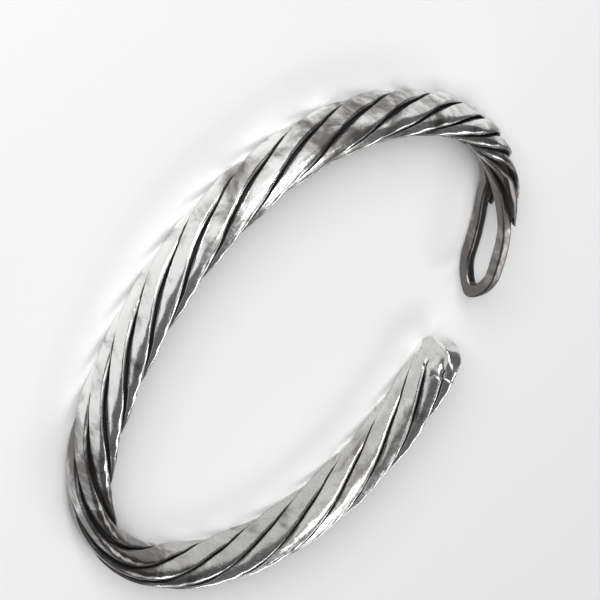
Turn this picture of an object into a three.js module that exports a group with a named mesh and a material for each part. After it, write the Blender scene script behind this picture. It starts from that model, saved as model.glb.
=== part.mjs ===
// Twisted wire cuff bangle of silver: six strands twisted together to the left, rolled to a flat band and bent
// to an open oval. Two of the strands are one wire, folded at its middle, and its fold is the long eye at one
// end of the band. The other four taper off on the back of the eye's legs. At the other end all six are
// soldered into a rounded tip.
// Millimetres, +Z up. The bangle lies on its side: +Z is the axis of the oval, X its long way across, and the
// gap between the ends is on the +Y side. The origin is under the middle of the whole bangle.

import * as THREE from 'three';
import { mergeVertices } from 'three/addons/utils/BufferGeometryUtils.js';

// Oval that the middle line of the band follows
const OVAL_HALF_LENGTH = 31.2;
const OVAL_HALF_WIDTH = 25.4;
const OVAL_SQUARENESS = 2.19; // 2 is an ellipse, more is squarer
const OVAL_EGG = 0.023; // share by which the gap's side is longer than the middle
const GAP_BETWEEN_ENDS = 6.6;
const GAP_OFF_MIDDLE = 2.7; // how far the gap lies towards -X from the middle of its side

// Flat band that the six strands make together
const BAND_WIDTH = 6.4;
const BAND_THICKNESS = 4.0;
const WAIST_WIDTH = 5.0; // the band draws in to this where the eye begins
const WAIST_THICKNESS = 3.2;
const WAIST_RUN = 14;
const WAIST_SHIFT = 0.4; // how far outwards the band bows there
const WAIST_TURN = Math.PI / 6; // how much more the strands turn as the band draws in
const STRANDS = 6;
const LEAD_AT_TIP = 45.8; // length of band for one full turn of a strand, at the soldered tip
const LEAD_AT_EYE = 37.7;
const TWIST_OVERRUN = 1.5; // how far the twist runs on past the start of the eye
const TWIST_FADE = 3; // length over which it runs out there
const SEAM_RUN = 3; // length before the eye over which the seams between its two legs stop turning
const EDGE_CROWDING = 0.1; // how far the strands draw together round the edges of the band

// One strand of the band
const CLEARANCE = 0.3;
const GROOVE_OUTSIDE = 0.6; // mouth of the groove between two strands on the outside of the bangle
const GROOVE_INSIDE = 0.4;
const GROOVE_DEPTH = 0.8;
const LEAST_WALL = 0.25; // least share of a strand's height that is wall between its groove and its root
const SHOULDER = 0.2; // bevel along each edge of a strand
const BEVEL_DROP = 0.06;
const CORE_SHARE = 0.27; // share of the band's section left open at its heart
const ROOT_HALF_WIDTH = 0.06; // least width left at a strand's root
const ROOT_LEAN = 0.3; // how far the roots of the strands lean over round the heart
const LEAN_FADE = 6;

// Eye at the folded end, and its two legs
const EYE_REACH = 17.8; // from where the legs part to the end of the band
const EYE_WIDTH = 3.1;
const EYE_OPENING_RUN = 7;
const LEGS_WIDTH = 5.9; // over both legs
const LEGS_WIDENING_RUN = 10;
const LEG_THICKNESS = 1.25;
const LEG_INSIDE = 0.86; // from the band's middle line to the side of a leg that faces the wrist
const THINNING_RUN = 8;
const PARTING_RUN = 7; // length over which a strand's section changes to a leg's
const FOLD_REACH = 4.6; // length of the arch that closes the eye
const FOLD_METAL = 1.7; // width of the wire at the end of the fold
const FOLD_SQUARENESS = 1.65;

// Tapered ends of the other four strands
const SCARF_REACH = 6;
const SCARF_END = 0.3;

// Soldered tip
const TIP_LENGTH = 3.1;
const TIP_BLUNTNESS = 2.4;
const TIP_SQUARENESS = 2.4; // of its section: 2 is an oval, more is squarer
const TIP_RIM = 1.0;
const TIP_FIELD_DEPTH = 0.28;

// Fineness of the faceted solids
const STATION_STEP = 1.62;
const FOLD_STEPS = 7;
const TIP_SIDES = 28;
const TIP_STATIONS = 8;

const TURN = 2 * Math.PI;
const SECTOR = TURN / STRANDS;
const UP = new THREE.Vector3(0, 0, 1);
const { lerp, clamp, euclideanModulo } = THREE.MathUtils;

// Corners of a strand's section from one flank round by the root to the other flank. In the band they hang on
// the strand's two edges: side says which, across is the share of the way to it, inset how far the corner is
// drawn back from it and depth how far it lies under the surface.
const FLANK = { across: 0.5, inset: (groove) => (groove / 2 + SHOULDER) / 2, depth: 0 };
const SHOULDER_TOP = { across: 1, inset: (groove) => groove / 2 + SHOULDER, depth: BEVEL_DROP };
const SHOULDER_FOOT = { across: 1, inset: (groove) => groove / 2, depth: BEVEL_DROP + SHOULDER };
const GROOVE_FOOT = { across: 1, inset: () => CLEARANCE / 2, depth: GROOVE_DEPTH };
const ROOT = { across: 1, inset: () => CLEARANCE / 2, depth: Infinity };
const HALF_SECTION = [FLANK, SHOULDER_TOP, SHOULDER_FOOT, GROOVE_FOOT, ROOT];
const STRAND_SECTION = [
  ...HALF_SECTION.map((corner) => ({ ...corner, side: 1 })),
  ...HALF_SECTION.map((corner) => ({ ...corner, side: -1 })).reverse(),
];

// The same corners where the strand lies along a leg of the eye: wide is the share of the way from the eye's
// wall to the band's edge, and deep the share of the way from the strand's own face to its root
const LEG_SECTIONS = {
  eye: [
    { wide: 0.28, deep: 0 }, { wide: 0.1, deep: 0 }, { wide: 0, deep: 0.12 }, { wide: 0, deep: 0.86 },
    { wide: 0.12, deep: 1 }, { wide: 0.88, deep: 1 }, { wide: 1, deep: 0.86 }, { wide: 1, deep: 0.12 },
    { wide: 0.9, deep: 0 }, { wide: 0.72, deep: 0 },
  ],
  edge: [
    { wide: 1, deep: 0.25 }, { wide: 1, deep: 0.6 }, { wide: 0.98, deep: 0.85 }, { wide: 0.9, deep: 1 },
    { wide: 0.75, deep: 1 }, { wide: 0.65, deep: 1 }, { wide: 0.6, deep: 0.8 }, { wide: 0.6, deep: 0.15 },
    { wide: 0.66, deep: 0 }, { wide: 0.9, deep: 0 },
  ],
  back: [
    { wide: 0.3, deep: 0 }, { wide: 0.35, deep: 0 }, { wide: 0.4, deep: 0.15 }, { wide: 0.4, deep: 0.8 },
    { wide: 0.35, deep: 1 }, { wide: 0.05, deep: 1 }, { wide: 0, deep: 0.8 }, { wide: 0, deep: 0.15 },
    { wide: 0.05, deep: 0 }, { wide: 0.1, deep: 0 },
  ],
};

const silver = new THREE.MeshStandardMaterial({ color: 0xb9b9b6, roughness: 0.3, metalness: 1.0 });
const solderedSilver = new THREE.MeshStandardMaterial({ color: 0xc6c4bd, roughness: 0.35, metalness: 1.0 });

function smooth(share) {
  const x = clamp(share, 0, 1);
  return x * x * (3 - 2 * x);
}

// Middle line of the closed oval, from the middle of the gap's side round by +X
class Oval extends THREE.Curve {
  getPoint(t, target = new THREE.Vector3()) {
    const angle = TURN / 4 - TURN * t;
    const across = Math.abs(Math.cos(angle)) / OVAL_HALF_LENGTH;
    const along = Math.abs(Math.sin(angle)) / OVAL_HALF_WIDTH;
    const radius = (across ** OVAL_SQUARENESS + along ** OVAL_SQUARENESS) ** (-1 / OVAL_SQUARENESS);
    const y = radius * Math.sin(angle);
    const x = radius * Math.cos(angle) * (1 + OVAL_EGG * y / OVAL_HALF_WIDTH);
    return target.set(x, y, 0);
  }
}

const oval = new Oval();
oval.arcLengthDivisions = 2400;
const ovalLength = oval.getLength();
const bandStart = GAP_BETWEEN_ENDS / 2 - GAP_OFF_MIDDLE;
const bandLength = ovalLength - GAP_BETWEEN_ENDS;
const eyeStart = bandLength - EYE_REACH;
const foldStart = bandLength - FOLD_REACH;
const scarfEnd = eyeStart + SCARF_REACH;
const twistEnd = eyeStart + TWIST_OVERRUN;
const strandStart = TIP_LENGTH + CLEARANCE;

// Point of the model from a length along the middle line, a way outwards from it and a height above it
function place(length, out, up) {
  const share = euclideanModulo((bandStart + length) / ovalLength, 1);
  const along = oval.getTangentAt(share).setZ(0).normalize();
  const outwards = new THREE.Vector3().crossVectors(UP, along);
  return oval.getPointAt(share).addScaledVector(outwards, out).addScaledVector(UP, up);
}

// How far the band has drawn in at a length, from 0 to 1
function waistShare(length) {
  return smooth(1 + (length - eyeStart) / WAIST_RUN);
}

// Turn of the strands at a length, counted back from where it is nothing
function twist(length) {
  const run = Math.max(twistEnd - length, 0);
  const fading = Math.min(run, TWIST_FADE);
  const full = run - fading;
  const fadingTurns = fading * fading / (2 * TWIST_FADE * LEAD_AT_EYE);
  const slowing = (1 / LEAD_AT_EYE - 1 / LEAD_AT_TIP) / (twistEnd - TWIST_FADE);
  const fullTurns = full / LEAD_AT_EYE - slowing * full * full / 2;
  return TURN * (fadingTurns + fullTurns) + WAIST_TURN * (1 - waistShare(length));
}

// Half width, half thickness, bow outwards and half opening of the band at a length
function bandSize(length) {
  const beyond = length - eyeStart;
  const waist = waistShare(length);
  const widening = smooth(beyond / LEGS_WIDENING_RUN);
  const width = lerp(lerp(BAND_WIDTH, WAIST_WIDTH, waist), LEGS_WIDTH, widening);
  return {
    halfWidth: width / 2,
    halfThickness: lerp(BAND_THICKNESS, WAIST_THICKNESS, waist) / 2,
    middleOut: WAIST_SHIFT * waist,
    halfOpening: EYE_WIDTH / 2 * Math.sin(TURN / 4 * clamp(beyond / EYE_OPENING_RUN, 0, 1)),
  };
}

// Point on the band's surface at a share of the way from the middle of a strand to one of its edges. The two
// seams that become the eye's opening stop turning before the others.
function surfacePoint(strand, share, length, size) {
  const start = strand.mirror * (strand.angle + share * SECTOR / 2);
  const fromSeam = Math.min(Math.abs(start), TURN / 2 - Math.abs(start));
  const heldBack = smooth(1 + (length - eyeStart) / SEAM_RUN) * (1 - clamp(fromSeam / SECTOR, 0, 1));
  const flat = start + twist(length) * (1 - heldBack);
  const angle = flat - EDGE_CROWDING * Math.sin(2 * flat);
  return new THREE.Vector2(size.halfThickness * Math.cos(angle), size.halfWidth * Math.sin(angle));
}

// Corner of a strand's section in the twisted band, as a way outwards and a height
function bandCorner(corner, strand, length, size) {
  const surface = surfacePoint(strand, corner.side * corner.across, length, size);
  const edges = [-1, 1].map((side) => surfacePoint(strand, side, length, size).normalize());
  const halfSpan = Math.acos(edges[0].dot(edges[1])) / 2;
  const reach = surface.length();
  const ray = surface.divideScalar(reach);
  const round = new THREE.Vector2(-ray.y, ray.x);
  const groove = lerp(GROOVE_INSIDE, GROOVE_OUTSIDE, (1 + edges[0].add(edges[1]).normalize().x) / 2);
  const isRoot = corner.depth === Infinity;
  const lean = isRoot ? ROOT_LEAN * smooth((eyeStart - length) / LEAN_FADE) : 0;
  const rootReach = Math.max(reach * CORE_SHARE, (CLEARANCE / 2 + ROOT_HALF_WIDTH) / Math.sin(halfSpan));
  const kept = isRoot ? rootReach : Math.max(reach - corner.depth, lerp(rootReach, reach, LEAST_WALL));
  const inset = -strand.mirror * corner.side * corner.inset(groove);
  const point = ray.multiplyScalar(kept).addScaledVector(round, inset + lean);
  return { out: size.middleOut + point.x, up: point.y };
}

// Corner of a strand's section along a leg of the eye
function legCorner(corner, strand, length, size) {
  const beyond = length - eyeStart;
  const bandInside = size.middleOut - size.halfThickness;
  const bandOutside = size.middleOut + size.halfThickness;
  const inside = lerp(bandInside, -LEG_INSIDE, smooth(beyond / THINNING_RUN));
  const legBack = inside + LEG_THICKNESS;
  const strandRoot = legBack + CLEARANCE;
  const strandFace = lerp(bandOutside, strandRoot + SCARF_END, smooth(beyond / SCARF_REACH));
  const isEyeWire = strand.leg === 'eye';
  const out = isEyeWire ? lerp(inside, legBack, corner.deep) : lerp(strandFace, strandRoot, corner.deep);
  return { out, up: strand.mirror * lerp(size.halfOpening, size.halfWidth, corner.wide) };
}

// Section of a strand at a length, as points of the model
function strandRing(strand, length) {
  const size = bandSize(length);
  const inBand = STRAND_SECTION.map((corner) => bandCorner(corner, strand, length, size));
  if (length <= eyeStart) {
    return inBand.map(({ out, up }) => place(length, out, up));
  }
  const parted = smooth((length - eyeStart) / PARTING_RUN);
  const kept = (size.halfWidth - size.halfOpening) / size.halfWidth;
  return LEG_SECTIONS[strand.leg].map((corner, index) => {
    const leg = legCorner(corner, strand, length, size);
    const moved = strand.mirror * (size.halfOpening + Math.abs(inBand[index].up) * kept);
    return place(length, lerp(inBand[index].out, leg.out, parted), lerp(moved, leg.up, parted));
  });
}

// Section of the eye's wire in the fold: the eye's wall and the band's edge both arch over to the middle
function foldRing(strand, share) {
  const size = bandSize(foldStart);
  const angle = TURN / 4 * share;
  const onwards = Math.sin(angle) ** (2 / FOLD_SQUARENESS);
  const upwards = Math.cos(angle) ** (2 / FOLD_SQUARENESS);
  return LEG_SECTIONS.eye.map((corner) => {
    const { out } = legCorner(corner, strand, foldStart, size);
    const reach = lerp(FOLD_REACH - FOLD_METAL, FOLD_REACH, corner.wide);
    const height = lerp(size.halfOpening, size.halfWidth, corner.wide);
    return place(foldStart + reach * onwards, out, strand.mirror * height * upwards);
  });
}

// Closed body through rings of equally many points, with a flat cap on the first and last. A four-cornered
// face is split into two triangles from its first corner, or from its second where splitsOther says so.
function bodyThroughRings(rings, splitsOther = () => false) {
  const sides = rings[0].length;
  const lastRing = (rings.length - 1) * sides;
  const middles = [rings[0], rings[rings.length - 1]].map((ring) => (
    ring.reduce((sum, point) => sum.add(point), new THREE.Vector3()).divideScalar(sides)
  ));
  const points = [...rings.flat(), ...middles];
  const firstMiddle = points.length - 2;
  const lastMiddle = points.length - 1;
  const triangles = [];
  for (let side = 0; side < sides; side += 1) {
    const next = (side + 1) % sides;
    for (let row = 0; row < lastRing; row += sides) {
      const onward = row + sides;
      if (splitsOther(side, row / sides)) {
        triangles.push(row + side, row + next, onward + side);
        triangles.push(row + next, onward + next, onward + side);
      } else {
        triangles.push(row + side, row + next, onward + next);
        triangles.push(row + side, onward + next, onward + side);
      }
    }
    triangles.push(firstMiddle, next, side);
    triangles.push(lastMiddle, lastRing + side, lastRing + next);
  }
  const geometry = new THREE.BufferGeometry().setFromPoints(points);
  geometry.setIndex(triangles);
  const merged = mergeVertices(geometry);
  merged.computeVertexNormals();
  return merged;
}

// The two walls that face each other across a clearance are split alike, so the clearance keeps its width.
// One of a strand's walls needs the other split for that, and the other wall where the wire comes back.
function wallSplit(turningBack) {
  const outgoingWall = HALF_SECTION.length;
  const returningWall = HALF_SECTION.length - 2;
  return (side, row) => side === (row < turningBack ? outgoingWall : returningWall);
}

function evenSteps(from, to, step) {
  const count = Math.max(1, Math.ceil((to - from) / step));
  return Array.from({ length: count + 1 }, (_, index) => from + (to - from) * index / count);
}

function namedMesh(name, geometry, material) {
  const mesh = new THREE.Mesh(geometry, material);
  mesh.name = name;
  return mesh;
}

const bandLengths = evenSteps(strandStart, eyeStart, STATION_STEP);

// The folded wire: from the tip to the eye, round the fold and back as the strand beside it
function eyeWire(angle) {
  const there = { angle, mirror: 1, leg: 'eye' };
  const back = { angle, mirror: -1, leg: 'eye' };
  const legLengths = evenSteps(eyeStart, foldStart, STATION_STEP / 2).slice(1);
  const lengths = [...bandLengths, ...legLengths];
  const shares = evenSteps(0, 1, 1 / FOLD_STEPS).slice(1);
  const rings = [
    ...lengths.map((length) => strandRing(there, length)),
    ...shares.map((share) => foldRing(there, share)),
    ...shares.slice(0, -1).reverse().map((share) => foldRing(back, share)),
    ...lengths.reverse().map((length) => strandRing(back, length)),
  ];
  return namedMesh('eye_wire', bodyThroughRings(rings, wallSplit(rings.length / 2)), silver);
}

// One of the other strands, which ends in a taper on the back of a leg
function taperedStrand(name, strand) {
  const scarfLengths = evenSteps(eyeStart, scarfEnd, STATION_STEP / 2).slice(1);
  const rings = [...bandLengths, ...scarfLengths].map((length) => strandRing(strand, length));
  const ordered = strand.mirror > 0 ? rings : rings.map((ring) => ring.reverse());
  return namedMesh(name, bodyThroughRings(ordered, wallSplit(Infinity)), silver);
}

// Share of its full reach that a rounded outline has at a cosine or sine
function squared(share) {
  return Math.sign(share) * Math.abs(share) ** (2 / TIP_SQUARENESS);
}

// Rounded tip: a blunt end with a raised rim and a flat sunk field on the side that faces the wrist
function solderedTip() {
  const rings = [];
  for (let step = 1; step <= TIP_STATIONS; step += 1) {
    const share = 1 - Math.cos(TURN / 4 * step / TIP_STATIONS);
    const roundness = (1 - (1 - share) ** TIP_BLUNTNESS) ** (1 / TIP_BLUNTNESS);
    const halfWidth = BAND_WIDTH / 2 * roundness;
    const halfThickness = BAND_THICKNESS / 2 * Math.sqrt(roundness);
    rings.push(Array.from({ length: TIP_SIDES }, (_, side) => {
      const angle = TURN * side / TIP_SIDES;
      const up = halfWidth * squared(Math.sin(angle));
      const facesWrist = Math.cos(angle) < 0;
      const field = smooth((halfWidth - Math.abs(up) - TIP_RIM / 2) / (TIP_RIM / 2));
      const sunk = facesWrist ? TIP_FIELD_DEPTH * field : 0;
      return place(share * TIP_LENGTH, halfThickness * squared(Math.cos(angle)) + sunk, up);
    }));
  }
  return namedMesh('end_tip', bodyThroughRings(rings), solderedSilver);
}

const bangle = new THREE.Group();
bangle.add(eyeWire(SECTOR * 5 / 2));
bangle.add(taperedStrand('strand_1', { angle: SECTOR * 3 / 2, mirror: 1, leg: 'edge' }));
bangle.add(taperedStrand('strand_2', { angle: SECTOR / 2, mirror: 1, leg: 'back' }));
bangle.add(taperedStrand('strand_3', { angle: SECTOR / 2, mirror: -1, leg: 'back' }));
bangle.add(taperedStrand('strand_4', { angle: SECTOR * 3 / 2, mirror: -1, leg: 'edge' }));
bangle.add(solderedTip());

const reach = new THREE.Box3().setFromObject(bangle, true);
const middle = reach.getCenter(new THREE.Vector3());
bangle.position.set(-middle.x, -middle.y, -reach.min.z);
bangle.updateMatrixWorld(true);

export default bangle;
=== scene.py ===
# %% [markdown]
# # Twisted wire cuff bangle
#
# A silver cuff made of six strands, twisted together to the left, rolled to a flat band, bent to an open oval
# and darkened in its grooves. One end is the long open eye of a folded wire, the other a rounded soldered tip.
# The imported solids give every shape its place. This script makes the fine surfaces around them: rounded strands
# with soft dents, the solder of the tip, the black of the grooves, and the polish, with some painted shade, dark
# reflections and highlights in its colours.

# %% Load the imported bangle and measure it
import math

import bpy
import numpy as np
from mathutils import Matrix, Vector
from mathutils.bvhtree import BVHTree
from mathutils.kdtree import KDTree


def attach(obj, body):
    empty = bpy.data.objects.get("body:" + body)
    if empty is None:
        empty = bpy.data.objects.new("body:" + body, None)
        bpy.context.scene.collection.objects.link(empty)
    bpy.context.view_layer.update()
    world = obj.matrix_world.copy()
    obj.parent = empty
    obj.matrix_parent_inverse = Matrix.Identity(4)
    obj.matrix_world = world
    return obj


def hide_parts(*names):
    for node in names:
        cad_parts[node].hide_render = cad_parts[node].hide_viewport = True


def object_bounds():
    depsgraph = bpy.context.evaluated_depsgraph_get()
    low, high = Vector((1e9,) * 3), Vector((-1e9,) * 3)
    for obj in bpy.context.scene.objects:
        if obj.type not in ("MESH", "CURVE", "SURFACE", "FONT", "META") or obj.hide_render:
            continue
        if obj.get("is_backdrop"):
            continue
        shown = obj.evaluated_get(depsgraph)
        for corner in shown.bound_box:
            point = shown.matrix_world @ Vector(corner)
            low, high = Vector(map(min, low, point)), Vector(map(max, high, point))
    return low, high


MM = 0.001
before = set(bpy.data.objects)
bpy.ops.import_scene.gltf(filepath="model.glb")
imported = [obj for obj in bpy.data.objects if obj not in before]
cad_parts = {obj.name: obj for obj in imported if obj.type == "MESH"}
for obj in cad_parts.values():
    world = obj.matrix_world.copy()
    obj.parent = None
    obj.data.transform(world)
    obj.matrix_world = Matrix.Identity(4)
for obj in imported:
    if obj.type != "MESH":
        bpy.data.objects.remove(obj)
size_before = [list(corner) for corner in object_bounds()]
print("packed bangle in mm:", [round((high - low) / MM, 2) for low, high in zip(*size_before)])

# %% [markdown]
# The six strands follow one middle line: an oval a little squarer than an ellipse and a little longer on the
# side of the gap, as a bangle gets when it is bent round a mandrel. It could be drawn as a curve object, but
# every later step has to ask for points on it, so it is kept as a table of points instead. Lengths along it
# count in millimetres from the tip to the eye.

# %% The middle line of the band
HALF_LENGTH = 31.2
HALF_WIDTH = 25.4
SQUARENESS = 2.19
EGG = 0.023
GAP = 6.6
GAP_OFF_MIDDLE = 2.7
CENTRE = Vector((-0.018, 0.078, 3.203))
EYE_REACH = 17.8

turns = np.linspace(0, 1, 4001)
angles = math.tau * (0.25 - turns)
across = np.abs(np.cos(angles) / HALF_LENGTH) ** SQUARENESS
along = np.abs(np.sin(angles) / HALF_WIDTH) ** SQUARENESS
radii = (across + along) ** (-1 / SQUARENESS)
oval_y = radii * np.sin(angles)
oval_x = radii * np.cos(angles) * (1 + EGG * oval_y / HALF_WIDTH)
oval_lengths = np.concatenate([[0], np.cumsum(np.hypot(np.diff(oval_x), np.diff(oval_y)))])
BAND_LENGTH = oval_lengths[-1] - GAP
EYE_START = BAND_LENGTH - EYE_REACH


def oval_point(length):
    """Point of the oval at a length in mm from the tip."""
    at = (GAP / 2 - GAP_OFF_MIDDLE + length) % oval_lengths[-1]
    return Vector((np.interp(at, oval_lengths, oval_x), np.interp(at, oval_lengths, oval_y), 0))


def band_axes(length):
    """Directions along the band and outwards at a length in mm from the tip."""
    direction = (oval_point(length + 0.05) - oval_point(length - 0.05)).normalized()
    return direction, Vector((-direction.y, direction.x, 0))


def band_place(length, out=0.0, up=0.0):
    """Point in metres at a length along the band, a way outwards from its middle line and a height above it."""
    outwards = band_axes(length)[1]
    return (CENTRE + oval_point(length) + outwards * out + Vector((0, 0, up))) * MM


print("band", round(BAND_LENGTH, 1), "mm long, eye from", round(EYE_START, 1), "mm on")

# %% [markdown]
# Many of the fine shapes depend on how far a point lies from the nearest groove. The grooves turn round the band
# like threads: one turn takes a little more length at the tip than at the eye, and the band draws in to a waist
# before the eye. This cell writes that twist down once, as a rule for the angle at each length.

# %% Section and twist of the band
HALF_SECTION = np.array([2.0, 3.2])
HALF_WAIST = np.array([1.6, 2.5])
WAIST_RUN = 14
WAIST_SHIFT = 0.4
WAIST_TURN = math.pi / 6
LEAD_AT_TIP = 45.8
LEAD_AT_EYE = 37.7
TWIST_END = EYE_START + 1.5
TWIST_FADE = 3
EDGE_CROWDING = 0.1
SECTOR = math.tau / 6


def smooth_step(low, high, value):
    """0 below low, 1 above high, smooth between."""
    share = np.clip((value - low) / (high - low), 0, 1)
    return share * share * (3 - 2 * share)


def twist_at(length):
    """Angle in radians by which the strands have turned at a length, counted from the eye."""
    run = np.maximum(TWIST_END - length, 0)
    fading = np.minimum(run, TWIST_FADE)
    full = run - fading
    slowing = (1 / LEAD_AT_EYE - 1 / LEAD_AT_TIP) / (TWIST_END - TWIST_FADE)
    turns = fading ** 2 / (2 * TWIST_FADE * LEAD_AT_EYE) + full / LEAD_AT_EYE - slowing * full ** 2 / 2
    return math.tau * turns + WAIST_TURN * (1 - smooth_step(EYE_START - WAIST_RUN, EYE_START, length))


print("twist from eye to tip:", round(float(twist_at(0)) / math.tau, 2), "turns")

# %% [markdown]
# The next cell turns the rule round: it gives each point of a mesh its place along the band, its angle round the
# section and its distance from the nearest groove. A point first looks up the closest sample of the middle line.
# The rest is worked out for all points of a mesh together, as columns of numbers, which is quicker than a loop.

# %% Places in the band
SAMPLE_STEP = 0.1
samples = np.arange(0, BAND_LENGTH, SAMPLE_STEP)
sample_places = np.array([oval_point(length)[:2] for length in samples])
sample_ways = np.array([band_axes(length)[0][:2] for length in samples])
nearest_sample = KDTree(len(samples))
for index, (x, y) in enumerate(sample_places):
    nearest_sample.insert((x, y, 0), index)
nearest_sample.balance()


def coordinates(piece):
    """The points of a mesh, one row each, in metres."""
    points = np.empty(len(piece.data.vertices) * 3)
    piece.data.vertices.foreach_get("co", points)
    return points.reshape(-1, 3)


class BandPlaces:
    """Where the points of a mesh lie in the band, in mm."""

    def __init__(self, piece):
        points = coordinates(piece) / MM - np.array(CENTRE)
        found = np.array([nearest_sample.find((x, y, 0))[1] for x, y, z in points])
        way = sample_ways[found]
        offset = points[:, :2] - sample_places[found]
        self.length = samples[found] + (offset * way).sum(axis=1)
        waist = smooth_step(EYE_START - WAIST_RUN, EYE_START, self.length)
        half = HALF_SECTION + waist[:, None] * (HALF_WAIST - HALF_SECTION)
        self.outwards = np.stack([-way[:, 1], way[:, 0]], axis=1)
        self.out = (offset * self.outwards).sum(axis=1) - WAIST_SHIFT * waist
        self.up = points[:, 2]
        self.angle = np.arctan2(self.up / half[:, 1], self.out / half[:, 0])
        # The strands crowd a little towards the edges of the band. A few rounds undo that.
        flat = self.angle.copy()
        for _ in range(6):
            flat = self.angle + EDGE_CROWDING * np.sin(2 * flat)
        turned = np.mod(flat - twist_at(self.length) + SECTOR / 2, SECTOR) - SECTOR / 2
        stretch = np.hypot(half[:, 0] * np.sin(self.angle), half[:, 1] * np.cos(self.angle))
        self.past_groove = turned * stretch
        self.from_groove = np.abs(self.past_groove)
        self.to_edge = np.abs(np.sin(self.angle))
        self.outside = smooth_step(-0.3, 0.3, np.cos(self.angle))
        self.reach = np.maximum(np.hypot(self.out, self.up), 0.2)
        self.full = np.hypot(self.up / half[:, 1], self.out / half[:, 0])
        self.round_out = -half[:, 0] * np.sin(self.angle) / stretch
        self.round_up = half[:, 1] * np.cos(self.angle) / stretch


def move_in_section(piece, places, inwards, round_section=0.0):
    """Moves the points of a mesh towards the heart of the band and round its section, by amounts in mm."""
    out = round_section * places.round_out - inwards * places.out / places.reach
    up = round_section * places.round_up - inwards * places.up / places.reach
    offset = np.concatenate([places.outwards * out[:, None], up[:, None]], axis=1)
    piece.data.vertices.foreach_set("co", (coordinates(piece) + offset * MM).ravel())
    piece.data.update()


print(len(samples), "samples along the middle line")

# %% [markdown]
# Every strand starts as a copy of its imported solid. The copy is merged and its triangles are turned back into
# four-sided faces, so that a subdivision surface can round it like rolled wire: it keeps its flat face and its
# narrow bevels. A bevel modifier could round the edges too, but would leave the long faces faceted.

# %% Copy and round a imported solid
SAME_POINT = 0.002
SHARP_ANGLE = math.radians(24)


def select_only(piece):
    """Leaves one object selected and active."""
    bpy.ops.object.select_all(action="DESELECT")
    piece.select_set(True)
    bpy.context.view_layer.objects.active = piece


def quad_copy(node_name, name):
    """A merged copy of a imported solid, as four-sided faces."""
    select_only(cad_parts[node_name])
    bpy.ops.object.duplicate()
    piece = bpy.context.object
    piece.name = name
    bpy.ops.object.mode_set(mode="EDIT")
    bpy.ops.mesh.select_all(action="SELECT")
    bpy.ops.mesh.remove_doubles(threshold=SAME_POINT * MM)
    bpy.ops.mesh.customdata_custom_splitnormals_clear()
    bpy.ops.mesh.tris_convert_to_quads(face_threshold=math.pi, shape_threshold=math.pi)
    bpy.ops.mesh.normals_make_consistent(inside=False)
    bpy.ops.mesh.select_all(action="DESELECT")
    bpy.ops.object.mode_set(mode="OBJECT")
    return piece


def apply_new(piece, name, kind, **settings):
    """Adds a modifier, sets it and applies it at once."""
    modifier = piece.modifiers.new(name, kind)
    for setting, value in settings.items():
        setattr(modifier, setting, value)
    select_only(piece)
    bpy.ops.object.modifier_apply(modifier=modifier.name)


def rounded(piece, levels=2, crease=0.5):
    """Smooth surface through a cage, whose sharp edges stay narrow."""
    select_only(piece)
    bpy.ops.object.mode_set(mode="EDIT")
    bpy.ops.mesh.select_mode(type="EDGE")
    bpy.ops.mesh.edges_select_sharp(sharpness=SHARP_ANGLE)
    bpy.ops.transform.edge_crease(value=crease)
    bpy.ops.mesh.select_all(action="DESELECT")
    bpy.ops.object.mode_set(mode="OBJECT")
    apply_new(piece, "Rounding", "SUBSURF", levels=levels, render_levels=levels)
    bpy.ops.object.shade_smooth()


# %% [markdown]
# Hand rolling leaves the edges slightly wavy and the faces slightly dented. Two soft displacements take away the
# machine-made look. Both read the place in space, so neighbouring pieces rise and fall together where they meet.

# %% Make a surface uneven
WAVES = 0.10
DENTS = 0.035


def unevenness(name, size):
    """Soft noise for a displacement, with features of about that size in mm."""
    texture = bpy.data.textures.new(name, "CLOUDS")
    texture.noise_scale = size * MM
    texture.noise_depth = 1
    return texture


hand_waves = unevenness("Hand waves", 5.0)
small_dents = unevenness("Small dents", 1.4)


def dented(piece):
    """Gives a piece the waves and dents of hand work."""
    for name, texture, strength in (("Waves", hand_waves, WAVES), ("Dents", small_dents, DENTS)):
        settings = {"texture": texture, "texture_coords": "GLOBAL", "mid_level": 0.5, "strength": strength * MM}
        apply_new(piece, name, "DISPLACE", **settings)


# %% [markdown]
# On the flat faces of the band the rollers have pressed the strands level and close together, closest on the
# side of the wrist. Round its edges they stay round, so the outline of the band is a row of low lobes with a
# notch at every groove. Sculpting could make the lobes, but the place of every groove is known, so each point is
# simply lowered, raised or pushed sideways by its distance from the groove.

# %% Strands
LEVEL_ROUNDING = 0.09
LOBE_DEPTH_INSIDE = 0.46
LOBE_DEPTH_OUTSIDE = 0.24
LOBE_DEPTH_AT_TIP = 0.62
LOBE_SWELL = 0.12
TIP_LOBES = (10, 45)
EDGE_OF_BAND = (0.45, 0.95)
VALLEY = (0.1, 0.8)
CREST = (0.5, 1.0)
BAND_END = (EYE_START - 6, EYE_START - 1)
PRESSED_INSIDE = 0.13
PRESSED_OUTSIDE = 0.08
PRESSED_WALL = (0.3, 1.0)
LARGEST_SHARE = 0.75


def lobe_depth(places):
    """How deep a groove cuts the outline: little on the flat faces, most at the edges and near the tip."""
    depth = LOBE_DEPTH_INSIDE + places.outside * (LOBE_DEPTH_OUTSIDE - LOBE_DEPTH_INSIDE)
    near_tip = 1 - smooth_step(*TIP_LOBES, places.length)
    depth = depth + near_tip * (LOBE_DEPTH_AT_TIP - depth)
    return LEVEL_ROUNDING + (depth - LEVEL_ROUNDING) * smooth_step(*EDGE_OF_BAND, places.to_edge)


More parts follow.
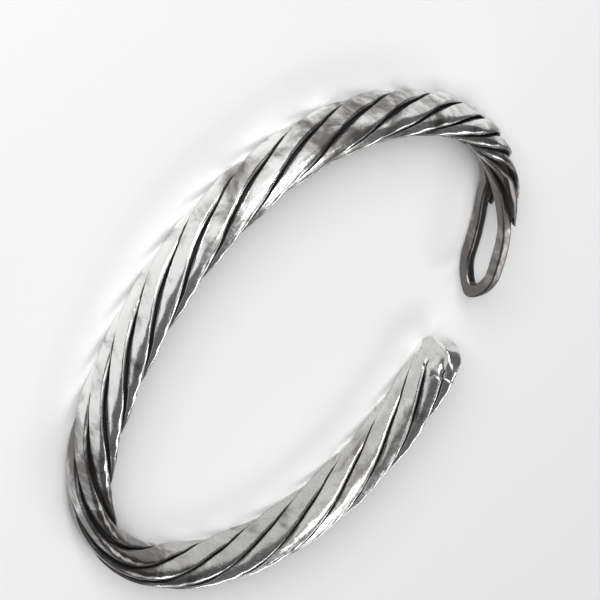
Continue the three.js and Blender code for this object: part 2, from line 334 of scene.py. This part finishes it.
def lobed(piece):
    """Rounds a strand at the edges of the band and presses it against its neighbours on the faces."""
    places = BandPlaces(piece)
    lowered = lobe_depth(places) * (1 - smooth_step(*VALLEY, places.from_groove))
    at_edge = smooth_step(*EDGE_OF_BAND, places.to_edge)
    swollen = LOBE_SWELL * at_edge * smooth_step(*CREST, places.from_groove)
    in_band = 1 - smooth_step(*BAND_END, places.length)
    pressed = PRESSED_INSIDE + places.outside * (PRESSED_OUTSIDE - PRESSED_INSIDE)
    pressed = pressed * (1 - smooth_step(*PRESSED_WALL, places.from_groove))
    closer = np.minimum(pressed, LARGEST_SHARE * places.from_groove)
    move_in_section(piece, places, (lowered - swollen) * in_band, -np.sign(places.past_groove) * closer * in_band)


strands = {}
for node_name in ("eye_wire", "strand_1", "strand_2", "strand_3", "strand_4"):
    strand = quad_copy(node_name, "rounded_" + node_name)
    corners = [len(face.vertices) for face in strand.data.polygons]
    rounded(strand)
    lobed(strand)
    dented(strand)
    strands[node_name] = strand
    print(strand.name, "had", corners.count(4), "quads and", corners.count(3), "triangles,",
          "has", len(strand.data.polygons), "faces")

# %% [markdown]
# The tip is a pool of solder over the strand ends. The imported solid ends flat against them, so its copy gets a
# collar: the flat back is extruded over the ends of the strands, as solder runs a little way along them.

# %% Cage of the soldered tip
TIP_LENGTH = 3.1
COLLAR_STEPS = (0.4, 0.6, 0.8)

tip = quad_copy("end_tip", "solder_tip")
inwards = band_axes(TIP_LENGTH)[0]
back_plane = band_place(TIP_LENGTH)
for face in tip.data.polygons:
    face.select = abs((Vector(face.center) - back_plane).dot(inwards)) < 0.02 * MM
select_only(tip)
bpy.ops.object.mode_set(mode="EDIT")
bpy.ops.mesh.select_mode(type="FACE")
for step in COLLAR_STEPS:
    bpy.ops.mesh.extrude_region_move(TRANSFORM_OT_translate={"value": inwards * step * MM})
bpy.ops.object.mode_set(mode="OBJECT")
rounded(tip, levels=3, crease=0.0)
print("solder tip with its collar:", len(tip.data.polygons), "faces")

# %% [markdown]
# The collar is drawn onto the band's oval section, and sinks a little below its surface at the far end, so that
# no step shows where it meets the strands. The grooves grow shallow in the solder and end. The side that faces
# the wrist is a flat field with a low rim, as on the real tip.

# %% Shape of the soldered tip
COLLAR_START = (1.8, 3.2)
COLLAR_SKIN = (0.6, 0.8)
COLLAR_END = (3.5, 4.9)
COLLAR_FULLNESS = 0.985
COLLAR_SINKS = 0.09
GROOVES_START = (1.0, 3.2)
GROOVE_SLOPE = (0.05, 0.9)
SOLDER_GROOVE = 0.1
TIP_ROUNDNESS = 2.4
RIM = (0.3, 0.75)
FIELD_END = (2.0, 3.4)
FIELD_DEPTH = 0.2

tip_places = BandPlaces(tip)
meets_band = smooth_step(*COLLAR_START, tip_places.length) * smooth_step(*COLLAR_SKIN, tip_places.full)
fullness = COLLAR_FULLNESS - COLLAR_SINKS * smooth_step(*COLLAR_END, tip_places.length)
to_band = meets_band * tip_places.reach * (1 - fullness / np.maximum(tip_places.full, 0.5))
runs_out = smooth_step(*GROOVES_START, tip_places.length)
between = 1 - smooth_step(*GROOVE_SLOPE, tip_places.from_groove)
from_end = np.clip(tip_places.length / TIP_LENGTH, 0, 1)
half_width = HALF_SECTION[1] * (1 - (1 - from_end) ** TIP_ROUNDNESS) ** (1 / TIP_ROUNDNESS)
from_rim = np.minimum(tip_places.length, half_width - np.abs(tip_places.up))
field_fades = 1 - smooth_step(*FIELD_END, tip_places.length)
field = smooth_step(*RIM, from_rim) * field_fades * (1 - tip_places.outside)
in_tip = to_band + runs_out * between * (SOLDER_GROOVE + lobe_depth(tip_places)) + FIELD_DEPTH * field
move_in_section(tip, tip_places, in_tip)
dented(tip)
print("deepest move in the tip:", round(float(in_tip.max()), 2), "mm")

# %% [markdown]
# The real grooves end on blackened metal, not on daylight. A heart of black metal lies inside the band, just
# under the bottoms of the grooves, and sends a branch into each leg of the eye. It is drawn as curves with an
# oval section, as a core wire would be, because a curve can grow thin towards the legs point by point.

# %% Blackened heart
HEART_HALF_SECTION = (1.18, 2.35)
HEART_START = 2.2
HEART_POINTS = 140
HEART_NARROWS = 0.27

bpy.ops.curve.primitive_bezier_circle_add(radius=MM)
core_section = bpy.context.object
core_section.name = "core_section"
core_section.scale = (*HEART_HALF_SECTION, 1)
bpy.ops.object.transform_apply(location=False, rotation=False, scale=True)

heart_curve = bpy.data.curves.new("groove_blackening", "CURVE")
heart_curve.dimensions = "3D"
heart_curve.bevel_mode = "OBJECT"
heart_curve.bevel_object = core_section
heart_curve.use_fill_caps = True
heart_curve.twist_mode = "Z_UP"

# Each point is a length, a way outwards and a height in mm, and a share of the oval section.
heart_lengths = np.linspace(HEART_START, EYE_START + 1.0, HEART_POINTS)
waist = np.clip(1 + (heart_lengths - EYE_START) / WAIST_RUN, 0, 1) ** 2
paths = [[(length, WAIST_SHIFT * share, 0, 1 - HEART_NARROWS * share) for length, share in zip(heart_lengths, waist)]]
for side in (-1, 1):
    paths.append([
        (EYE_START - 2.0, 0.40, side * 0.5, 0.30),
        (EYE_START + 0.5, 0.30, side * 1.0, 0.34),
        (EYE_START + 2.5, 0.20, side * 1.6, 0.32),
        (EYE_START + 4.5, 0.25, side * 2.0, 0.26),
        (EYE_START + 6.0, 0.40, side * 2.1, 0.12),
    ])
for path in paths:
    spline = heart_curve.splines.new("POLY")
    spline.points.add(len(path) - 1)
    for point, (length, out, up, radius) in zip(spline.points, path):
        point.co = (*band_place(length, out, up), 1)
        point.radius = radius
heart = bpy.data.objects.new("groove_blackening", heart_curve)
bpy.context.collection.objects.link(heart)
select_only(heart)
bpy.ops.object.convert(target="MESH")
heart = bpy.context.object
bpy.ops.object.shade_smooth()
bpy.data.objects.remove(core_section)
print("heart", len(heart.data.polygons), "faces")

# %% [markdown]
# Where the polish doesn't reach, the silver stays black: on every groove wall that looks at another wall close by,
# and on a narrow strip along each groove. On the lower half of the edge the strip is wider; that part is painted
# shade, the shaded far side of each groove. Walls that look across the eye's opening are made nearly as dark. From
# each point of a strand a ray goes out along its normal. Where it soon meets metal, the point lies in a groove or in
# the eye's opening. Blender's dirt vertex colours look at one mesh alone and wouldn't see the strand beside it. The
# result is kept as a number on the mesh for the material to read.

# %% Find the places that polishing doesn't reach, and the painted shade
GROOVE_SIGHT = 0.7
OPENING_SIGHT = 3.8
GROOVE_SIGHT_FADES = 0.3
OPENING_SIGHT_FADES = 0.4
OPENING_DARKNESS = 0.85
OFF_THE_WALL = 0.02
FAR_AWAY = 1000
BLACK_REACH = 0.13
MORE_OUTSIDE = 0.07
# Painted shade: extra width of the black strip on the lower half of the edge.
MORE_PAINTED_SHADE_BELOW = 0.2
BELOW_TO_EDGE = (0.05, 0.5)
BLACK_FADES = 0.14
GROOVES_END = (EYE_START - 4, EYE_START)

walls = []
for strand in strands.values():
    walls.append(BVHTree.FromObject(strand, bpy.context.evaluated_depsgraph_get()))


def sight(point, normal):
    """Distance in mm to the next metal along a normal."""
    start = point + normal * OFF_THE_WALL * MM
    hits = [wall.ray_cast(start, normal, OPENING_SIGHT * MM)[3] for wall in walls]
    return min((hit / MM for hit in hits if hit is not None), default=FAR_AWAY)


def softened(mesh, values):
    """Each value averaged with those of its neighbours."""
    ends = np.array([edge.vertices[:] for edge in mesh.edges])
    total = values.copy()
    count = np.ones(len(values))
    for here, there in (ends.T, ends.T[::-1]):
        np.add.at(total, here, values[there])
        np.add.at(count, here, 1)
    return total / count


def keep_number(piece, name, values):
    """Stores one number for each point of a mesh, under a name that a material can read."""
    attribute = piece.data.attributes.new(name, "FLOAT", "POINT")
    attribute.data.foreach_set("value", values)
    print(piece.name, name, round(float(values.mean()), 2))


def mark_unpolished_and_shade(piece, places):
    """Keeps how black each point of a strand is, from 0 to 1."""
    seen = np.array([sight(vertex.co, vertex.normal) for vertex in piece.data.vertices])
    in_groove = np.clip((GROOVE_SIGHT - seen) / GROOVE_SIGHT_FADES, 0, 1)
    # Walls that look across the eye's opening, up to 3.8 mm away, are made nearly black.
    in_opening = OPENING_DARKNESS * np.clip((OPENING_SIGHT - seen) / OPENING_SIGHT_FADES, 0, 1)
    # Painted shade: on the lower half of the edge the black strip is wider, standing for the shaded far side of each
    # groove.
    below = smooth_step(*BELOW_TO_EDGE, places.to_edge) * (places.up < 0)
    black_reach = BLACK_REACH + MORE_OUTSIDE * places.outside + MORE_PAINTED_SHADE_BELOW * below
    beside_groove = 1 - smooth_step(0, BLACK_FADES, places.from_groove - black_reach)
    in_band = 1 - smooth_step(*GROOVES_END, places.length)
    dark = np.maximum.reduce([in_groove, in_opening, beside_groove * in_band])
    keep_number(piece, "unpolished_and_shade", softened(piece.data, dark))


# %% [markdown]
# Cloth and hands rub the outside and the edges of the bangle bright, and the rim of the tip most of all; the bright
# rim is also a painted highlight. The inside is left greyer, as a painted dark reflection. Most oxide is left where
# polishing is hard: on the eye and in the tight bends of the oval, and the same table paints dark reflections there
# too. The amounts were judged from the picture and written down as a table over the length of the band.

# %% Mark the wear and the painted light
# Partly oxide, partly painted dark reflection: darkness along the band, most on the eye and in the bends.
OXIDE_AND_REFLECTION_LENGTHS = [0, 10, 20, 28, 40, 49, 58, 74, 85, 100, 112, 130, 140, EYE_START - 8, EYE_START - 2]
OXIDE_AND_REFLECTION_LEFT = [0.0, 0.2, 0.4, 0.25, 0.15, 0.7, 1.2, 1.0, 0.2, 0.15, 0.5, 0.7, 0.4, 0.55, 1.1]
RUBBED_AND_SHEEN_OUTSIDE = (-0.7, 0.1)
BRIGHTER_NEAR_TIP = 0.35
NEAR_TIP = (6, 20)
RUBBED_AND_HIGHLIGHT_RIM = (0.15, 0.6)
TIP_GROOVE_WIDTH = (0.02, 0.22)
TIP_GROOVES_START = (1.6, 3.2)


def mark_wear_and_painted_light(piece, places, rim=0):
    """Keeps each point's wear and painted light: how bright from rubbing and painted sheen, how dark from oxide and
    painted dark reflection.
    """
    near_tip = BRIGHTER_NEAR_TIP * (1 - smooth_step(*NEAR_TIP, places.length))
    # Partly wear, partly painted light: the inside is left greyer as a painted dark reflection.
    rubbed_and_sheen = np.maximum(smooth_step(*RUBBED_AND_SHEEN_OUTSIDE, np.cos(places.angle)), near_tip)
    keep_number(piece, "rubbed_and_sheen", np.maximum(rubbed_and_sheen, rim))
    keep_number(piece, "oxide_and_dark_reflection", np.interp(places.length, OXIDE_AND_REFLECTION_LENGTHS, OXIDE_AND_REFLECTION_LEFT))


for strand in strands.values():
    strand_places = BandPlaces(strand)
    mark_unpolished_and_shade(strand, strand_places)
    mark_wear_and_painted_light(strand, strand_places)
# Painted highlight in part: the rim of the tip is marked fully rubbed, so it shows bright silver.
mark_wear_and_painted_light(tip, tip_places, rim=1 - smooth_step(*RUBBED_AND_HIGHLIGHT_RIM, from_rim))
tip_groove = 1 - smooth_step(*TIP_GROOVE_WIDTH, tip_places.from_groove)
keep_number(tip, "unpolished_and_shade", tip_groove * smooth_step(*TIP_GROOVES_START, tip_places.length))

# %% [markdown]
# A shader is a formula, and a formula is easier to read as sums and products than as a web of nodes. One small
# class stands for the output of a node, and every operation on it adds the node it needs.

# %% Shader arithmetic


class Value:
    """The output of a shader node, usable like a number."""

    def __init__(self, tree, socket):
        self.tree = tree
        self.socket = socket

    def node(self, kind, settings=None, inputs=None, output=0):
        return add_node(self.tree, kind, settings, inputs, output)

    def math(self, operation, *values):
        return self.node("ShaderNodeMath", {"operation": operation}, dict(enumerate(values)))

    def __add__(self, other):
        return self.math("ADD", self, other)

    def __radd__(self, other):
        return self.math("ADD", other, self)

    def __sub__(self, other):
        return self.math("SUBTRACT", self, other)

    def __rsub__(self, other):
        return self.math("SUBTRACT", other, self)

    def __mul__(self, other):
        return self.math("MULTIPLY", self, other)

    def __rmul__(self, other):
        return self.math("MULTIPLY", other, self)

    def between(self, low, high):
        """0 below low, 1 above high, smooth between."""
        settings = {"interpolation_type": "SMOOTHSTEP", "clamp": True}
        return self.node("ShaderNodeMapRange", settings, {"Value": self, "From Min": low, "From Max": high})


def add_node(tree, kind, settings=None, inputs=None, output=0):
    """Adds a node, sets it, fills or links its inputs and returns one of its outputs."""
    node = tree.nodes.new(kind)
    for setting, value in (settings or {}).items():
        setattr(node, setting, value)
    for key, value in (inputs or {}).items():
        if isinstance(value, Value):
            tree.links.new(value.socket, node.inputs[key])
        else:
            node.inputs[key].default_value = value
    return Value(tree, node.outputs[output])


# %% [markdown]
# Every finish of the bangle starts the same way: a material whose patterns follow the piece itself, at sizes in
# millimetres. A second small class holds that start and the few kinds of node that the finishes share.

# %% Paint


class Paint:
    """A new material with its shader, its object coordinates in mm and a few ways to vary a colour."""

    def __init__(self, name):
        self.material = bpy.data.materials.new(name)
        self.material.use_nodes = True
        self.tree = self.material.node_tree
        self.shader = self.tree.nodes["Principled BSDF"]
        object_place = add_node(self.tree, "ShaderNodeTexCoord", output="Object")
        to_mm = {0: object_place, "Scale": 1 / MM}
        self.place = add_node(self.tree, "ShaderNodeVectorMath", {"operation": "SCALE"}, to_mm)

    def noise(self, size, detail=2.0, roughness=0.5, distortion=0.0):
        """Noise from 0 to 1 with features of about that size in mm."""
        return add_node(self.tree, "ShaderNodeTexNoise", {}, {
            "Vector": self.place,
            "Scale": 1 / size,
            "Detail": detail,
            "Roughness": roughness,
            "Distortion": distortion,
        })

    def number(self, name):
        """A number that the mesh carries at each point."""
        return add_node(self.tree, "ShaderNodeAttribute", {"attribute_name": name}, output="Fac")

    def mix(self, share, first, second):
        """A colour between two others. The Mix node's colours are its inputs 6 and 7 and its output 2."""
        colours = {"Factor": share, 6: first, 7: second}
        return add_node(self.tree, "ShaderNodeMix", {"data_type": "RGBA"}, colours, output=2)

    def set(self, **values):
        """Sets or links inputs of the shader, named with _ for a space."""
        for name, value in values.items():
            socket = self.shader.inputs[name.replace("_", " ")]
            if isinstance(value, Value):
                self.tree.links.new(value.socket, socket)
            else:
                socket.default_value = value

    def bump(self, height, depth):
        """Makes the surface follow a height from 0 to 1, depth mm deep."""
        heights = {"Strength": 1.0, "Distance": depth * MM, "Height": height}
        normal = add_node(self.tree, "ShaderNodeBump", {}, heights, output="Normal")
        self.tree.links.new(normal.socket, self.shader.inputs["Normal"])


# %% [markdown]
# Worn, oxidised silver: bright and fairly smooth where hands and polish have rubbed it and where a highlight is
# painted on the rim of the tip, a little grey and duller in cloudy smudges and on the inside, whose grey is a painted
# dark reflection, darker in patches of oxide and of painted dark reflection, and black and rough where the polish
# doesn't reach and where shade is painted along the lower edge. The edge of the black is uneven. A painted picture
# could show the same, but would have to be made again after every change of shape.

# %% Oxidised silver
BRIGHT_SILVER = (0.85, 0.85, 0.835, 1)
GREY_SILVER = (0.54, 0.535, 0.52, 1)
# Partly oxide, partly painted dark reflection: the warm dark that the table and the patches mix in.
DARK_OXIDE_AND_REFLECTION = (0.125, 0.112, 0.104, 1)
BLACK_SILVER = (0.012, 0.012, 0.013, 1)


def oxidised_silver_with_painted_light(name, ripple):
    """Silver that reads the wear and painted light kept on its mesh, with a fine ripple that many mm deep."""
    paint = Paint(name)
    fray = paint.noise(0.5, detail=4, roughness=0.6)
    black = (paint.number("unpolished_and_shade") + (fray - 0.5) * 0.35).between(0.25, 0.6)
    cloud = paint.noise(2.4, detail=5, roughness=0.62, distortion=0.4)
    speck = paint.noise(0.4, detail=3, roughness=0.7).between(0.45, 0.8)
    grey = (1.0 - paint.number("rubbed_and_sheen") + (cloud - 0.5) * 1.4).between(0.2, 1.0)
    patch = paint.noise(4.0, detail=4, roughness=0.6, distortion=0.6)
    oxide_and_dark_reflection = (paint.number("oxide_and_dark_reflection") + (patch - 0.5) * 3.2).between(0.2, 1.1)
    metal = paint.mix(oxide_and_dark_reflection * 0.92, paint.mix(grey, BRIGHT_SILVER, GREY_SILVER), DARK_OXIDE_AND_REFLECTION)
    paint.set(
        Base_Color=paint.mix(black, metal, BLACK_SILVER),
        Metallic=1 - black * 0.9,
        Specular_IOR_Level=0.2,
        Roughness=0.2 + grey * 0.06 + speck * 0.1 + oxide_and_dark_reflection * 0.12 + black * 0.3,
    )
    paint.bump(paint.noise(1.1, detail=3, roughness=0.5), ripple)
    print(name, "has", len(paint.tree.nodes), "nodes")
    return paint


silver = oxidised_silver_with_painted_light("oxidised_silver_with_painted_light", ripple=0.05)
solder = oxidised_silver_with_painted_light("worn_solder_with_painted_light", ripple=0.07)

# %% [markdown]
# The heart is never polished, so it needs one plain finish: black and matt.

# %% Blackened metal
blackening = Paint("blackened_metal")
blackening.set(Base_Color=BLACK_SILVER, Metallic=0.2, Roughness=0.7)

# %% [markdown]
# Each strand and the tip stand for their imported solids, which stay hidden, and take their finish. The heart has
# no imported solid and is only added. Nothing moves, so all ride on the one body.

# %% Give the pieces their finishes


def finish(piece, paint):
    """Gives a piece one finish in place of any other."""
    piece.data.materials.clear()
    piece.data.materials.append(paint.material)


for node_name, strand in strands.items():
    finish(strand, silver)
    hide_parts(node_name)
finish(tip, solder)
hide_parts("end_tip")
finish(heart, blackening)
for piece in (*strands.values(), tip, heart):
    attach(piece, "root")
print(len(strands) + 2, "pieces finished")

# %% [markdown]
# The bangle lies on one pale sheet. The camera looks at it from the same side as in the picture, far away and
# through a long lens, and rolled to the same slant. The Standard view keeps the metal's bright and dark tones
# apart, which the softer film look would press together.

# %% Floor and camera
bpy.ops.mesh.primitive_plane_add(size=1.6)
floor = bpy.context.object
floor.name = "floor"
floor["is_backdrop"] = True
paper = Paint("pale_paper")
paper.set(Base_Color=(0.92, 0.92, 0.92, 1), Roughness=0.8)
floor.data.materials.append(paper.material)

AZIMUTH = -0.554
ELEVATION = math.radians(33)
ROLL = math.radians(135.5)
DISTANCE = 444.4
swing = Matrix.Rotation(AZIMUTH, 3, "Z")
tilt = Matrix.Rotation(math.pi / 2 - ELEVATION, 3, "X")
aim = swing @ tilt @ Matrix.Rotation(ROLL, 3, "Z")
bpy.ops.object.camera_add(location=(CENTRE + aim.col[2] * DISTANCE) * MM, rotation=aim.to_euler())
camera = bpy.context.object
camera.data.sensor_width = 36
camera.data.lens = 241.7
camera.data.shift_x = 0.0088
camera.data.shift_y = 0.076
bpy.context.scene.camera = camera
bpy.context.scene.view_settings.view_transform = "Standard"
print("camera at", [round(value / MM) for value in camera.location], "mm")

# %% [markdown]
# The light is that of a small product studio. Polished silver shows its surroundings more than itself, so the
# soft boxes are placed by what the faces mirror. A strong low one on the left lights the outer faces and throws
# the shadow to the right of the picture. A weak one stands behind the bangle, another hangs over it, and a dim
# grey room lies between them for contrast.

# %% Light
world = bpy.data.worlds.new("room")
bpy.context.scene.world = world
world.use_nodes = True
world.node_tree.nodes["Background"].inputs["Color"].default_value = (0.12, 0.12, 0.123, 1)
world.node_tree.nodes["Background"].inputs["Strength"].default_value = 1.0


def soft_box(name, place, width, height, power):
    """A soft light at a place in metres that looks at the bangle."""
    bpy.ops.object.light_add(type="AREA", location=place)
    lamp = bpy.context.object
    lamp.name = name
    lamp.data.shape = "RECTANGLE"
    lamp.data.size = width
    lamp.data.size_y = height
    lamp.data.energy = power
    lamp.rotation_euler = Vector(place).to_track_quat("Z", "Y").to_euler()
    print(name, power, "W")


soft_box("back_box", (0.30, 0.48, 0.42), 0.45, 0.25, 1.2)
soft_box("left_box", (-0.50, -0.66, 0.42), 0.42, 0.42, 11)
soft_box("top_box", (-0.1, -0.2, 0.9), 0.6, 0.6, 1.4)

# %% [markdown]
# The fine surfaces are meant to stay inside the imported solids. The box round the bangle is measured again, and
# its change from the box of the imported solids is printed.

# %% Measure again and finish
size_after = [list(corner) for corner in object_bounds()]
growth = [[round((after - before) / MM, 3) for before, after in zip(*pair)] for pair in zip(size_before, size_after)]
print("size change in mm:", growth)
